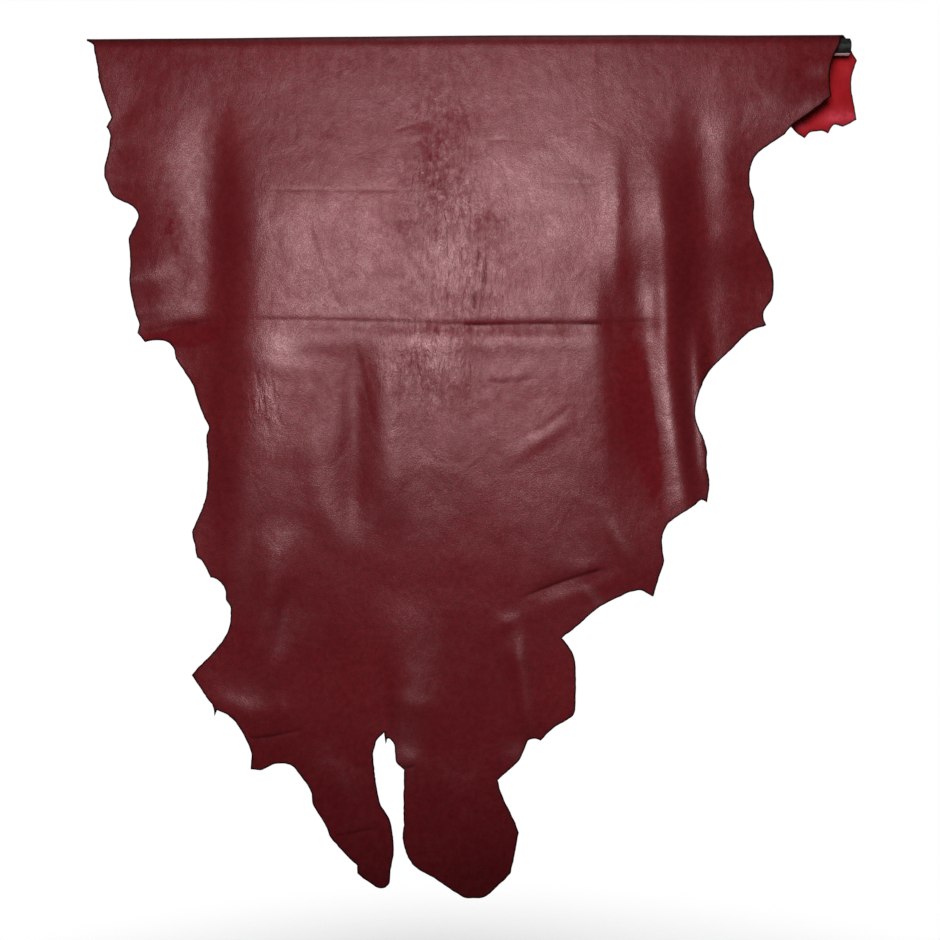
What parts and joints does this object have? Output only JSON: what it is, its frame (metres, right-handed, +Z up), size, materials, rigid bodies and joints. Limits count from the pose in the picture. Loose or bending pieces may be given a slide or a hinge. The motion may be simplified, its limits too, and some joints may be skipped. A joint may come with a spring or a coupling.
{
  "type": "leather hide on rail",
  "caption": "Whole dyed leather hide folded over a round rail: long front layer with the neck down, short back layer behind, ragged cut edge, red flesh side.",
  "frame": {"origin": "centre of the rail's left end face, as seen from the front", "axes": "+X along the rail to its right end, +Z up, and the long front layer, grain side out, faces -Y"},
  "size_m": [0.9261, 0.0649, 1.0319],
  "materials": {
    "burgundy_leather": "semi-gloss dyed grain side, bright red flesh side",
    "black_painted_steel": "smooth black paint"
  },
  "bodies": {
    "root": {"hide": "burgundy_leather", "rail": "black_painted_steel"}
  },
  "joints": []
}
